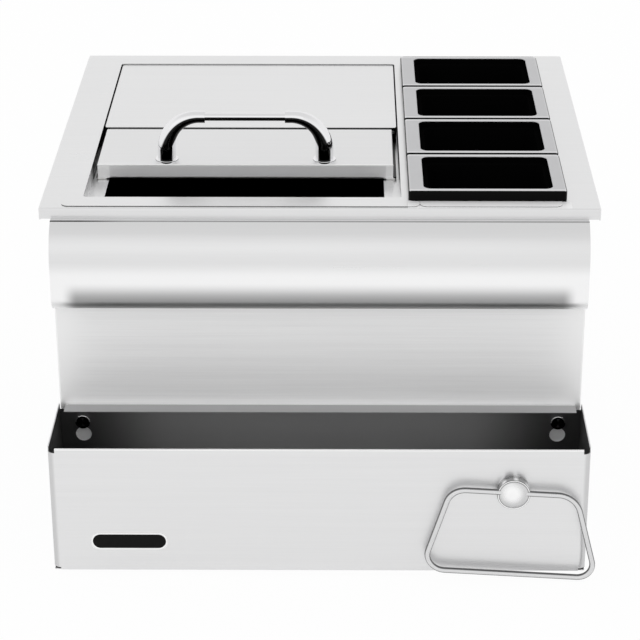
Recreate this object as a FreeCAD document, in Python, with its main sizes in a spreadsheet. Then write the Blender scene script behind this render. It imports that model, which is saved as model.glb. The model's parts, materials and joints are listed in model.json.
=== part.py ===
import FreeCAD, Part
import math
import os
import Sketcher

from FreeCAD import Placement, Rotation, Vector

# Drop-in bar centre. The origin is the middle of the rim's underside, which rests on the counter.
# +X is to the right, +Y to the back and +Z up. Places along Y are measured from the rim's front edge.

SIZES = {
    # Rim and deck: one folded sheet whose edges turn down and, at the sides and back, inwards
    "rim_width": 616,
    "rim_depth": 530,
    "rim_edge": 14,
    "deck_sheet": 1.5,
    "rim_return": 20,
    "rim_corner": 3,
    "rim_fold": 1.6,
    "return_setback": 40,
    "deck_cut_clearance": 0.4,
    # Ice bin liner: flange on the deck, recess with ledges for the lid, deep tub
    "flange_sheet": 0.8,
    "flange_front": 5.2,
    "flange_side": 24,
    "flange_rear": 25,
    "flange_corner": 8,
    "liner_sheet": 1.2,
    "recess_side": 46,
    "recess_rear": 37,
    "recess_depth": 18,
    "recess_corner": 4,
    "ledge": 18,
    "tub_depth": 250,
    "tub_corner": 22,
    "tub_floor_bend": 14,
    # Condiment liner: a shallow tub beside the ice bin, which takes the width that this one leaves
    "seam_offset": 20,
    "seam_gap": 0.6,
    "condiment_flange_width": 156,
    "condiment_flange_side": 41.7,
    "condiment_margin_left": 6.5,
    "condiment_margin_right": 10.8,
    "condiment_tub_corner": 12,
    "condiment_floor_bend": 8,
    "ice_under_bins": 20.8,
    # Foam and outer jacket
    "jacket_clearance": 5,
    "jacket_front_gap": 4,
    "jacket_sheet": 1,
    "foam_front": 3,
    "foam_floor": 25,
    "foam_clearance": 0.3,
    # Drain in the tub floor
    "drain_setback": 85,
    "drain_flange_radius": 27.5,
    "drain_flange_sheet": 2,
    "drain_tube_radius": 16.5,
    "drain_wall": 3,
    "drain_tail": 45,
    "drain_thread_depth": 0.6,
    "drain_thread_end": 2,
    "drain_clearance": 0.1,
    "strainer_radius": 20,
    "strainer_seat": 1,
    "strainer_hole_radius": 2.4,
    "strainer_ring_radius": 10.5,
    "gasket_radius": 25,
    "gasket_height": 3,
    "drain_nut_radius": 27,
    "drain_nut_height": 9,
    # Rear cover: folded lid that rests on the ledges
    "cover_gap": 1.2,
    "cover_sheet": 1.2,
    "cover_sink": 0.4,
    "cover_corner": 4,
    "cover_fold": 1,
    "cover_front_lip": 8,
    # Sliding lid: raised box on a thin plate that runs back under the rear cover
    "lid_front": 132.5,
    "lid_depth": 120.5,
    "lid_cover_gap": 5.5,
    "lid_gap_left": 5,
    "lid_gap_right": 7,
    "lid_sheet": 1.2,
    "lid_corner": 5,
    "lid_fold": 1,
    "lid_proud": 0.4,
    "slide_plate_rear_gap": 8.5,
    "slide_plate_gap": 3.5,
    "slide_plate_sheet": 1.5,
    "glide_height": 1.5,
    "glide_width": 10,
    "glide_inset": 3,
    "running_gap": 0.2,
    # Handle on the lid
    "handle_span": 181.4,
    "handle_setback": 14.5,
    "elbow_stem": 13,
    "elbow_bend": 37,
    "elbow_arm": 8,
    "elbow_foot_radius": 10.3,
    "elbow_tip_wall": 2.4,
    "elbow_socket_depth": 8,
    "bar_radius": 4.5,
    "bar_play": 0.05,
    "collar_radius": 13.4,
    "collar_height": 2.6,
    "collar_fold": 1,
    "handle_screw_radius": 3,
    "handle_screw_play": 0.1,
    "handle_screw_length": 14,
    "handle_screw_head_radius": 6,
    "handle_screw_head_height": 3.5,
    # Condiment bins: moulded pans with a rolled skirt, in one row as long as the recess
    "bin_overlap": 12.5,
    "bin_overhang": 6.2,
    "bin_front_cover": 10.7,
    "bin_row_play": 0.2,
    "bin_gap": 0.8,
    "bin_rise": 11.2,
    "bin_corner": 6,
    "bin_roll": 2,
    "bin_wall": 2,
    "mouth_front": 9.5,
    "mouth_rear": 8.7,
    "mouth_over_tub": 2,
    "mouth_over_tub_front": 1.7,
    "mouth_over_tub_rear": 1.3,
    "mouth_corner": 9,
    "mouth_roll": 0.9,
    "shoulder_lift": 1.5,
    "pan_play": 2,
    "pan_depth": 90,
    "pan_draft": 8,
    # Bullnose below the rim
    "apron_side": 13,
    "nose_sheet": 1.2,
    "nose_reach": 33,
    "nose_root": 6,
    "nose_shoulder": 45,
    "nose_flat": 36,
    "nose_foot": 5,
    "nose_seat_gap": 0.2,
    "nose_lip_gap": 0.1,
    "nose_flange": 22,
    "bracket_width": 30,
    "bracket_sheet": 1.5,
    "bracket_gap": 4,
    "bracket_inset": 95,
    # Apron panel
    "panel_sheet": 1.2,
    "panel_reach": 10,
    "panel_top": 5,
    "panel_bottom": 358,
    "panel_return": 12,
    "panel_bend": 2,
    # Speed rail
    "rail_overhang": 1.5,
    "rail_sheet": 1.2,
    "rail_gap": 0.3,
    "rail_drop": 220,
    "rail_height": 152,
    "rail_reach": 121,
    "rail_corner": 8,
    "rail_flange": 21,
    "rail_bend": 2.4,
    "rail_hem": 10,
    "corner_notch": 5,
    "corner_slot": 3,
    "flange_relief": 7,
    # Hanging studs and keyholes
    "stud_inset": 26.8,
    "stud_below": 21.5,
    "stud_head_radius": 8.5,
    "stud_head_height": 4,
    "stud_head_fold": 1,
    "stud_shoulder": 0.1,
    "stud_shank_radius": 3,
    "stud_shank": 9,
    "keyhole_play": 0.5,
    "keyhole_drop": 17,
    "slot_play": 0.08,
    "nut_radius": 5.8,
    "nut_height": 5,
    "nut_play": 0.05,
    # Towel ring, its knob and screw
    "knob_side": 83.5,
    "knob_below": 50.2,
    "knob_radius": 17,
    "knob_front_wall": 3.2,
    "knob_dome": 5,
    "knob_bead": 1,
    "ring_stand_off": 8.6,
    "ring_above": 2.5,
    "ring_play": 0.07,
    "wire_radius": 3.2,
    "ring_top_width": 152,
    "ring_foot_width": 186,
    "ring_height": 103,
    "ring_bend": 17,
    "ring_end_gap": 2,
    "knob_screw_radius": 2.5,
    "knob_screw_play": 0.1,
    "knob_screw_web": 1.2,
    "knob_screw_head_radius": 5,
    "knob_screw_head_height": 3,
    # Bare plate on the rail's front
    "badge_side": 85.7,
    "badge_below": 114.9,
    "badge_width": 84.4,
    "badge_height": 20.6,
    "badge_sheet": 0.8,
    "badge_flat": 2.6,
    # One overrun serves every cut that runs out of its piece
    "overrun": 2,
}
BIN_COUNT = 4
STRAINER_HOLES = 8
RING_TILT_DEGREES = 3.4
ELBOW_RING_SHARES = (0, 0.25, 0.5, 0.75, 1)
HEX_SHARES = [(math.cos(math.radians(60 * k)), math.sin(math.radians(60 * k))) for k in range(6)]
PLANE_OF_AXIS = {"Z": "XY_Plane", "Y": "XZ_Plane", "X": "YZ_Plane"}

doc = FreeCAD.newDocument("bar_centre")
sheet = doc.addObject("Spreadsheet::Sheet", "Sizes")
for row, (size_name, size_value) in enumerate(SIZES.items(), 1):
    sheet.set(f"A{row}", size_name)
    sheet.set(f"B{row}", str(size_value))
    sheet.setAlias(f"B{row}", size_name)
doc.recompute()


class Length:
    """A size with the formula it comes from, so that a feature can be bound to the formula."""

    def __init__(self, value, formula):
        self.value = float(value)
        self.formula = formula

    def __add__(self, other):
        other = as_length(other)
        return Length(self.value + other.value, f"({self.formula} + {other.formula})")

    def __sub__(self, other):
        other = as_length(other)
        return Length(self.value - other.value, f"({self.formula} - {other.formula})")

    def __mul__(self, other):
        other = as_length(other)
        return Length(self.value * other.value, f"({self.formula} * {other.formula})")

    def __truediv__(self, other):
        other = as_length(other)
        return Length(self.value / other.value, f"({self.formula} / {other.formula})")

    def __neg__(self):
        return Length(-self.value, f"(0 - {self.formula})")


def as_length(value):
    return value if isinstance(value, Length) else Length(value, repr(float(value)))


def root(area):
    return Length(math.sqrt(area.value), f"sqrt({area.formula})")


class Sizes:
    """The sheet's sizes by name."""


s = Sizes()
for size_name in SIZES:
    setattr(s, size_name, Length(sheet.get(size_name), "Sizes." + size_name))
zero = Length(0, "0")
parts = []


class Disc:
    """A round outline."""

    def __init__(self, x, y, radius):
        self.x = x
        self.y = y
        self.radius = radius


class Bend:
    """A corner reached by an arc from the corner before it; side is +1 for a centre on the left."""

    def __init__(self, x, y, radius, side):
        self.x = x
        self.y = y
        self.radius = radius
        self.side = side


def box(x_low, y_low, x_high, y_high, radius=None):
    corners = [(x_low, y_low), (x_high, y_low), (x_high, y_high), (x_low, y_high)]
    return [corner + (radius,) for corner in corners] if radius else corners


def new_body(label):
    body = doc.addObject("PartDesign::Body", label)
    body.Label = label
    parts.append(body)
    return body


def place(body, x, y, z, turned=0):
    """Put a body at its place, turned about its own Y axis by an angle in degrees."""
    body.Placement = Placement(Vector(), Rotation(Vector(0, 1, 0), turned))
    for letter, value in (("x", x), ("y", y), ("z", z)):
        body.setExpression("Placement.Base." + letter, value.formula)


def sketch_on(body, axis, level):
    """A sketch square to the axis, at the given level along it."""
    plane = next(f for f in body.Origin.OriginFeatures if f.Role == PLANE_OF_AXIS[axis])
    sketch = body.newObject("Sketcher::SketchObject", body.Name + "_sketch")
    sketch.AttachmentSupport = [(plane, "")]
    sketch.MapMode = "FlatFace"
    offset = -level if axis == "Y" else level
    sketch.AttachmentOffset = Placement(Vector(0, 0, offset.value), Rotation())
    sketch.setExpression("AttachmentOffset.Base.z", offset.formula)
    return sketch


def unit(value):
    return 0 if abs(value) < 1e-9 else math.copysign(1, value)


def shifted(value, direction, radius):
    if direction == 0:
        return value
    return value + radius if direction > 0 else value - radius


def outline_steps(corners):
    """Turn corners into steps (x, y, radius, side): each step ends at x, y, by an arc if it has a radius."""
    steps = []
    for index, corner in enumerate(corners):
        if isinstance(corner, Bend):
            steps.append((corner.x, corner.y, corner.radius, corner.side))
            continue
        x, y = corner[0], corner[1]
        if len(corner) < 3:
            steps.append((x, y, None, 0))
            continue
        radius = corner[2]
        before = corners[index - 1]
        after = corners[(index + 1) % len(corners)]
        back_x, back_y = unit(before[0].value - x.value), unit(before[1].value - y.value)
        on_x, on_y = unit(after[0].value - x.value), unit(after[1].value - y.value)
        steps.append((shifted(x, back_x, radius), shifted(y, back_y, radius), None, 0))
        side = 1 if back_y * on_x - back_x * on_y > 0 else -1
        steps.append((shifted(x, on_x, radius), shifted(y, on_y, radius), radius, side))
    return steps


def pin_point(sketch, geometry, end, x, y):
    for kind, value in (("DistanceX", x), ("DistanceY", y)):
        index = sketch.addConstraint(Sketcher.Constraint(kind, -1, 1, geometry, end, value.value))
        sketch.setExpression(f"Constraints[{index}]", value.formula)


def pin_radius(sketch, geometry, radius):
    index = sketch.addConstraint(Sketcher.Constraint("Radius", geometry, radius.value))
    sketch.setExpression(f"Constraints[{index}]", radius.formula)


def draw(sketch, corners, closed=True):
    """An outline of straight edges and arcs, or a disc, with every corner bound to its formula."""
    if isinstance(corners, Disc):
        centre = Vector(corners.x.value, corners.y.value, 0)
        index = sketch.addGeometry(Part.Circle(centre, Vector(0, 0, 1), corners.radius.value))
        pin_point(sketch, index, 3, corners.x, corners.y)
        pin_radius(sketch, index, corners.radius)
        return
    steps = outline_steps(corners)
    edges = []
    for number, (x, y, radius, side) in enumerate(steps):
        if number == 0 and not closed:
            continue
        start_x, start_y = steps[number - 1][0], steps[number - 1][1]
        start = Vector(start_x.value, start_y.value, 0)
        end = Vector(x.value, y.value, 0)
        if radius is None:
            if start.isEqual(end, 1e-7):
                continue
            index = sketch.addGeometry(Part.LineSegment(start, end))
            edges.append((index, 1, 2, x, y, None))
            continue
        chord = end - start
        across = Vector(-chord.y, chord.x, 0).normalize() * side
        rise = math.sqrt(max(radius.value ** 2 - (chord.Length / 2) ** 2, 0))
        centre = start + chord / 2 + across * rise
        first, last = (start, end) if side > 0 else (end, start)
        first_angle = math.atan2(first.y - centre.y, first.x - centre.x)
        last_angle = math.atan2(last.y - centre.y, last.x - centre.x)
        circle = Part.Circle(centre, Vector(0, 0, 1), radius.value)
        index = sketch.addGeometry(Part.ArcOfCircle(circle, first_angle, last_angle))
        edges.append((index, 1, 2, x, y, radius) if side > 0 else (index, 2, 1, x, y, radius))
    if not closed:
        pin_point(sketch, edges[0][0], edges[0][1], steps[0][0], steps[0][1])
    for number, (index, start_end, far_end, x, y, radius) in enumerate(edges):
        if closed or number + 1 < len(edges):
            following = edges[(number + 1) % len(edges)]
            joint = Sketcher.Constraint("Coincident", index, far_end, following[0], following[1])
            sketch.addConstraint(joint)
        pin_point(sketch, index, far_end, x, y)
        if radius is not None:
            pin_radius(sketch, index, radius)


def add(body, axis, low, high, *outlines):
    """Pad the outlines from low to high along the axis."""
    sketch = sketch_on(body, axis, high if axis == "Y" else low)
    for corners in outlines:
        draw(sketch, corners)
    pad = body.newObject("PartDesign::Pad", body.Name + "_pad")
    pad.Profile = sketch
    pad.setExpression("Length", (high - low).formula)
    doc.recompute()
    return pad


def cut(body, axis, low, high, *outlines):
    """Pocket the outlines from low to high along the axis, and make sure that something was cut."""
    before = body.Shape.Volume
    sketch = sketch_on(body, axis, low if axis == "Y" else high)
    for corners in outlines:
        draw(sketch, corners)
    pocket = body.newObject("PartDesign::Pocket", body.Name + "_pocket")
    pocket.Profile = sketch
    pocket.setExpression("Length", (high - low).formula)
    doc.recompute()
    if body.Shape.Volume > before - 1e-3:
        raise ValueError(f"{body.Label}: a pocket along {axis} cuts nothing")
    return pocket


def turn(body, axis, corners):
    """Revolve an outline about the body's own Z or Y axis."""
    if axis == "Z":
        sketch = sketch_on(body, "Y", zero)
        line = "V_Axis"
    else:
        sketch = sketch_on(body, "X", zero)
        line = "H_Axis"
    draw(sketch, corners)
    feature = body.newObject("PartDesign::Revolution", body.Name + "_turn")
    feature.Profile = sketch
    feature.ReferenceAxis = (sketch, [line])
    feature.Angle = 360
    doc.recompute()
    return feature


def loft(body, kind, *levels):
    """Join outlines at given heights into a tapered body, or into a tapered hollow."""
    sketches = []
    for height, corners in levels:
        sketch = sketch_on(body, "Z", height)
        draw(sketch, corners)
        sketches.append(sketch)
    feature = body.newObject("PartDesign::" + kind, body.Name + "_loft")
    feature.Profile = sketches[0]
    feature.Sections = sketches[1:]
    feature.Ruled = True
    doc.recompute()
    return feature


def round_edges(body, radius, wanted):
    """Fillet the edges of the body for which wanted(bounding box) holds."""
    base = body.Tip
    names = [f"Edge{n}" for n, edge in enumerate(base.Shape.Edges, 1) if wanted(edge.BoundBox)]
    if not names:
        raise ValueError(f"{body.Label}: no edge to round")
    feature = body.newObject("PartDesign::Fillet", body.Name + "_fillet")
    feature.Base = (base, names)
    feature.setExpression("Radius", radius.formula)
    doc.recompute()
    return feature


def level_edge(height):
    """A test for edges that lie flat at a height."""
    return lambda b: abs(b.ZMin - height.value) < 1e-4 and abs(b.ZMax - height.value) < 1e-4


def plain_feature(label, shape):
    feature = doc.addObject("Part::Feature", label)
    feature.Label = label
    feature.Shape = shape
    parts.append(feature)
    return feature


# Heights
deck_top = s.rim_edge
deck_under = s.rim_edge - s.deck_sheet
flange_top = deck_top + s.flange_sheet
ledge_top = deck_top - s.recess_depth
ledge_under = ledge_top - s.liner_sheet
tub_floor = ledge_top - s.tub_depth
tub_under = tub_floor - s.liner_sheet
foam_under = tub_under - s.foam_floor
jacket_under = foam_under - s.jacket_sheet
pan_floor = flange_top - s.pan_depth - s.ice_under_bins
nose_top = s.nose_seat_gap + s.nose_sheet

# Rim and jacket
front = -s.rim_depth / 2
rear = s.rim_depth / 2
rim_right = s.rim_width / 2
rim_left = -rim_right
jacket_right = rim_right - s.rim_return - s.jacket_clearance
jacket_near = front + s.nose_flange + s.jacket_front_gap
jacket_far = rear - s.rim_return - s.jacket_clearance
apron_half = rim_right - s.apron_side

# Deck openings, from the right: condiment tub, seam, ice bin
flange_near = front + s.flange_front
flange_far = rear - s.flange_rear
flange_right = rim_right - s.condiment_flange_side
seam = flange_right - s.condiment_flange_width - s.seam_gap / 2
recess_left = rim_left + s.recess_side
recess_right = seam - s.seam_offset
recess_near = jacket_near + s.jacket_sheet + s.foam_front + s.foam_clearance + s.liner_sheet
recess_far = rear - s.recess_rear
tub_left = recess_left + s.ledge
tub_right = recess_right - s.ledge
tub_near = recess_near + s.ledge
tub_far = recess_far - s.ledge

# The row of bins, and the condiment tub under their mouths
bins_near = recess_near - s.bin_front_cover
bin_pitch = (recess_far - bins_near - s.bin_row_play) / BIN_COUNT
pan_left = seam + s.condiment_margin_left
pan_right = flange_right - s.condiment_margin_right
pan_near = bins_near + s.mouth_front + s.mouth_over_tub_front
pan_far = recess_far - s.bin_row_play - s.bin_gap - s.mouth_rear - s.mouth_over_tub_rear

# Places shared by the drain, the rail and what hangs on it
drain_x = (tub_left + tub_right) / 2
drain_y = tub_far - s.drain_setback
rail_half = apron_half + s.rail_overhang
rail_top = -s.rail_drop
stud_x = rail_half - s.stud_inset
stud_z = rail_top - s.stud_below
stud_neck = s.stud_shank_radius + s.stud_shoulder
knob_x = rail_half - s.knob_side
knob_z = rail_top - s.knob_below


def make_rim_frame():
    body = new_body("rim_frame")
    sheet_wall = s.deck_sheet
    add(body, "Z", zero, deck_top, box(rim_left, front, rim_right, rear, s.rim_corner))
    round_edges(body, s.rim_fold, level_edge(deck_top))
    inner_left, inner_right = rim_left + sheet_wall, rim_right - sheet_wall
    inner_near, inner_far = front + sheet_wall, rear - sheet_wall
    cut(body, "Z", sheet_wall, deck_under, box(inner_left, inner_near, inner_right, inner_far))
    # The return runs round the sides and the back, and stops short of the front corners
    return_left, return_right = rim_left + s.rim_return, rim_right - s.rim_return
    return_near = front + s.return_setback
    opening = [
        (inner_left, inner_near),
        (inner_right, inner_near),
        (inner_right, return_near),
        (return_right, return_near),
        (return_right, rear - s.rim_return),
        (return_left, rear - s.rim_return),
        (return_left, return_near),
        (inner_left, return_near),
    ]
    cut(body, "Z", -s.overrun, sheet_wall + s.overrun, opening)
    # The front lip ends a little above the seat, to clear the bullnose flange
    lip_cut = box(rim_left - s.overrun, front - s.overrun, rim_right + s.overrun, inner_near)
    cut(body, "Z", -s.overrun, nose_top + s.nose_lip_gap, lip_cut)
    gap = s.liner_sheet + s.deck_cut_clearance
    recess_cut = box(recess_left - gap, recess_near - gap, recess_right + gap, recess_far + gap,
                     s.recess_corner + gap)
    pan_cut = box(pan_left - gap, pan_near - gap, pan_right + gap, pan_far + gap,
                  s.condiment_tub_corner + gap)
    cut(body, "Z", deck_under - s.overrun, deck_top + s.overrun, recess_cut, pan_cut)


def make_ice_bin_liner():
    body = new_body("ice_bin_liner")
    wall = s.liner_sheet
    flange = box(rim_left + s.flange_side, flange_near, seam - s.seam_gap / 2, flange_far, s.flange_corner)
    add(body, "Z", deck_top, flange_top, flange)
    recess_skin = box(recess_left - wall, recess_near - wall, recess_right + wall, recess_far + wall,
                      s.recess_corner + wall)
    add(body, "Z", ledge_under, deck_top, recess_skin)
    tub_skin = box(tub_left - wall, tub_near - wall, tub_right + wall, tub_far + wall, s.tub_corner + wall)
    add(body, "Z", tub_under, ledge_under, tub_skin)
    recess = box(recess_left, recess_near, recess_right, recess_far, s.recess_corner)
    cut(body, "Z", ledge_top, flange_top + s.overrun, recess)
    tub = box(tub_left, tub_near, tub_right, tub_far, s.tub_corner)
    cut(body, "Z", tub_floor, ledge_top + s.overrun, tub)
    round_edges(body, s.tub_floor_bend, level_edge(tub_floor))
    round_edges(body, s.tub_floor_bend + wall, level_edge(tub_under))
    drain = Disc(drain_x, drain_y, s.drain_tube_radius + s.drain_clearance)
    cut(body, "Z", tub_under - s.overrun, tub_floor + s.overrun, drain)


def make_condiment_liner():
    body = new_body("condiment_liner")
    wall = s.liner_sheet
    flange = box(seam + s.seam_gap / 2, flange_near, flange_right, flange_far, s.flange_corner)
    add(body, "Z", deck_top, flange_top, flange)
    skin = box(pan_left - wall, pan_near - wall, pan_right + wall, pan_far + wall,
               s.condiment_tub_corner + wall)
    add(body, "Z", pan_floor - wall, deck_top, skin)
    hollow = box(pan_left, pan_near, pan_right, pan_far, s.condiment_tub_corner)
    cut(body, "Z", pan_floor, flange_top + s.overrun, hollow)
    round_edges(body, s.condiment_floor_bend, level_edge(pan_floor))
    round_edges(body, s.condiment_floor_bend + wall, level_edge(pan_floor - wall))


def make_foam():
    """Foamed in place, so its hollows follow the two liners."""
    body = new_body("foam_insulation")
    gap = s.liner_sheet + s.foam_clearance
    half = jacket_right - s.jacket_sheet
    near, far = jacket_near + s.jacket_sheet, jacket_far - s.jacket_sheet
    add(body, "Z", foam_under, deck_under, box(-half, near, half, far))
    recess = box(recess_left - gap, recess_near - gap, recess_right + gap, recess_far + gap,
                 s.recess_corner + gap)
    cut(body, "Z", ledge_top - gap, deck_under + s.overrun, recess)
    tub = box(tub_left - gap, tub_near - gap, tub_right + gap, tub_far + gap, s.tub_corner + gap)
    cut(body, "Z", tub_floor - gap, ledge_top, tub)
    round_edges(body, s.tub_floor_bend, level_edge(tub_floor - gap))
    pan = box(pan_left - gap, pan_near - gap, pan_right + gap, pan_far + gap,
              s.condiment_tub_corner + gap)
    cut(body, "Z", pan_floor - gap, deck_under + s.overrun, pan)
    round_edges(body, s.condiment_floor_bend, level_edge(pan_floor - gap))
    drain = Disc(drain_x, drain_y, s.drain_tube_radius + s.foam_clearance)
    cut(body, "Z", foam_under - s.overrun, tub_floor, drain)


def make_outer_jacket():
    body = new_body("outer_jacket")
    wall = s.jacket_sheet
    add(body, "Z", jacket_under, deck_under, box(-jacket_right, jacket_near, jacket_right, jacket_far))
    inside = box(wall - jacket_right, jacket_near + wall, jacket_right - wall, jacket_far - wall)
    cut(body, "Z", foam_under, deck_under + s.overrun, inside)
    drain = Disc(drain_x, drain_y, s.drain_tube_radius + s.foam_clearance)
    cut(body, "Z", jacket_under - s.overrun, foam_under + s.overrun, drain)


def make_drain():
    tube = s.drain_tube_radius
    bore = tube - s.drain_wall
    flange = s.drain_flange_sheet
    tail = jacket_under - tub_floor - s.drain_tail
    nut_top = jacket_under - s.gasket_height
    thread_end = nut_top - tub_floor - s.drain_nut_height - s.drain_thread_end
    tail_radius = tube - s.drain_thread_depth
    seat = flange - s.strainer_seat
    body = new_body("drain_body")
    turn(body, "Z", [
        (bore, tail),
        (tail_radius, tail),
        (tail_radius, thread_end),
        (tube, thread_end),
        (tube, zero),
        (s.drain_flange_radius, zero),
        (s.drain_flange_radius, flange - s.strainer_seat / 2),
        (s.drain_flange_radius - s.strainer_seat / 2, flange),
        (s.strainer_radius + s.drain_clearance, flange),
        (s.strainer_radius + s.drain_clearance, seat),
        (bore, seat),
    ])
    place(body, drain_x, drain_y, tub_floor)

    body = new_body("drain_strainer")
    add(body, "Z", seat, flange, Disc(zero, zero, s.strainer_radius))
    middle = Disc(zero, zero, s.strainer_hole_radius)
    cut(body, "Z", seat - s.overrun, flange + s.overrun, middle)
    hole = Disc(s.strainer_ring_radius, zero, s.strainer_hole_radius)
    pocket = cut(body, "Z", seat - s.overrun, flange + s.overrun, hole)
    pattern = body.newObject("PartDesign::PolarPattern", "strainer_pattern")
    pattern.Originals = [pocket]
    pattern.Axis = (pocket.Profile[0], ["N_Axis"])
    pattern.Occurrences = STRAINER_HOLES
    pattern.Angle = 360
    body.Tip = pattern
    doc.recompute()
    place(body, drain_x, drain_y, tub_floor)

    sleeve = tube + s.drain_clearance
    body = new_body("drain_gasket")
    add(body, "Z", jacket_under - s.gasket_height, jacket_under,
        Disc(zero, zero, s.gasket_radius), Disc(zero, zero, sleeve))
    place(body, drain_x, drain_y, zero)

    body = new_body("drain_nut")
    hexagon = [(s.drain_nut_radius * x, s.drain_nut_radius * y) for x, y in HEX_SHARES]
    add(body, "Z", nut_top - s.drain_nut_height, nut_top, hexagon, Disc(zero, zero, sleeve))
    place(body, drain_x, drain_y, zero)


def make_rear_cover():
    body = new_body("rear_cover")
    left, right = recess_left + s.cover_gap, recess_right - s.cover_gap
    near = front + s.lid_front + s.lid_depth + s.lid_cover_gap
    far = recess_far - s.cover_gap
    top = deck_top - s.cover_sink
    wall = s.cover_sheet
    add(body, "Z", ledge_top, top, box(left, near, right, far, s.cover_corner))
    round_edges(body, s.cover_fold, level_edge(top))
    inside = box(left + wall, near + wall, right - wall, far - wall)
    cut(body, "Z", ledge_top - s.overrun, top - wall, inside)
    # The front skirt is only a short lip, so that the lid's plate runs in below it
    gate = box(left + wall, near - s.overrun, right - wall, near + wall + s.overrun)
    cut(body, "Z", ledge_top - s.overrun, top - s.cover_front_lip, gate)


def make_lid():
    glide_under = ledge_top + s.running_gap
    plate_under = glide_under + s.glide_height
    plate_top = plate_under + s.slide_plate_sheet
    lid_top = deck_top + s.lid_proud
    near = front + s.lid_front
    left = recess_left + s.lid_gap_left
    right = recess_right - s.lid_gap_right
    wall = s.lid_sheet

    body = new_body("lid_box")
    far = near + s.lid_depth
    add(body, "Z", plate_top, lid_top, [
        (left, near),
        (right, near),
        (right, far, s.lid_corner),
        (left, far, s.lid_corner),
    ])
    round_edges(body, s.lid_fold, level_edge(lid_top))
    inside = box(left + wall, near + wall, right - wall, far - wall)
    cut(body, "Z", plate_top - s.overrun, lid_top - wall, inside)
    middle = (left + right) / 2
    post_y = near + s.handle_setback
    posts = [middle - s.handle_span / 2, middle + s.handle_span / 2]
    screw_hole = s.handle_screw_radius + s.handle_screw_play
    cut(body, "Z", lid_top - wall - s.overrun, lid_top + s.overrun,
        *[Disc(x, post_y, screw_hole) for x in posts])

    body = new_body("lid_slide_plate")
    plate_left, plate_right = recess_left + s.slide_plate_gap, recess_right - s.slide_plate_gap
    plate_far = recess_far - s.slide_plate_rear_gap
    add(body, "Z", plate_under, plate_top, box(plate_left, near, plate_right, plate_far))

    inner = s.glide_inset + s.glide_width
    for name, low, high in (
        ("left", tub_left - inner, tub_left - s.glide_inset),
        ("right", tub_right + s.glide_inset, tub_right + inner),
    ):
        body = new_body("lid_glide_" + name)
        add(body, "Z", glide_under, plate_under, box(low, near, high, plate_far))
    make_handle(middle, post_y, lid_top)


def ring_at(place, radius, turned):
    """A circle whose seam stays on the same side as its plane turns about Y."""
    ring = Part.Wire(Part.makeCircle(radius))
    ring.rotate(Vector(), Vector(0, 0, 1), 90)
    ring.rotate(Vector(), Vector(0, 1, 0), turned)
    ring.translate(place)
    return ring


def make_handle(middle, post_y, lid_top):
    """A thin bar between two tapered elbows that stand on round collars."""
    half = s.handle_span / 2
    foot = lid_top + s.collar_height
    bar_height = foot + s.elbow_stem + s.elbow_bend
    elbow_reach = s.elbow_bend + s.elbow_arm
    elbow_tip = s.bar_radius + s.elbow_tip_wall
    bend = s.elbow_bend.value
    for side, name in ((-1, "left"), (1, "right")):
        post = Vector((middle + half * side).value, post_y.value, foot.value)
        corner = Vector(post.x, post.y, bar_height.value)
        inward = Vector(-side, 0, 0)
        tip = corner + inward * elbow_reach.value
        bend_low = corner - Vector(0, 0, bend)
        bend_high = corner + inward * bend
        centre = bend_low + inward * bend
        foot_radius, tip_radius = s.elbow_foot_radius.value, elbow_tip.value
        rings = []
        for share in ELBOW_RING_SHARES:
            turned = math.radians(90 * share)
            from_centre = inward * -math.cos(turned) + Vector(0, 0, math.sin(turned))
            radius = foot_radius + (tip_radius - foot_radius) * share
            rings.append(ring_at(centre + from_centre * bend, radius, -90 * share * side))
        curve = Part.makeLoft(rings, True)
        stem = Part.makeCylinder(foot_radius, bend_low.z - post.z, post, Vector(0, 0, 1))
        arm = Part.makeCylinder(tip_radius, s.elbow_arm.value, bend_high, inward)
        elbow = stem.fuse([curve, arm])
        socket = Part.makeCylinder((s.bar_radius + s.bar_play).value, s.elbow_socket_depth.value,
                                   tip, -inward)
        screw_bore = Part.makeCylinder((s.handle_screw_radius + s.handle_screw_play).value,
                                       s.handle_screw_length.value, post, Vector(0, 0, 1))
        plain_feature("handle_elbow_" + name, elbow.cut(socket).cut(screw_bore))

        body = new_body("handle_collar_" + name)
        hole = s.handle_screw_radius + s.handle_screw_play
        rounding = s.collar_fold
        turn(body, "Z", [
            (hole, zero),
            (s.collar_radius, zero),
            (s.collar_radius, s.collar_height - rounding),
            Bend(s.collar_radius - rounding, s.collar_height, rounding, 1),
            (hole, s.collar_height),
        ])
        place(body, middle + half * side, post_y, lid_top)

        body = new_body("handle_screw_" + name)
        head_top = -s.lid_sheet
        head_under = head_top - s.handle_screw_head_height
        screw_end = s.collar_height + s.handle_screw_length - s.overrun
        turn(body, "Z", [
            (zero, head_under),
            (s.handle_screw_head_radius, head_under),
            (s.handle_screw_head_radius, head_top),
            (s.handle_screw_radius, head_top),
            (s.handle_screw_radius, screw_end),
            (zero, screw_end),
        ])
        place(body, middle + half * side, post_y, lid_top)

    body = new_body("handle_bar")
    bar_end = half - elbow_reach + s.elbow_socket_depth
    add(body, "X", -bar_end, bar_end, Disc(zero, zero, s.bar_radius))
    place(body, middle, post_y, bar_height)


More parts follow.
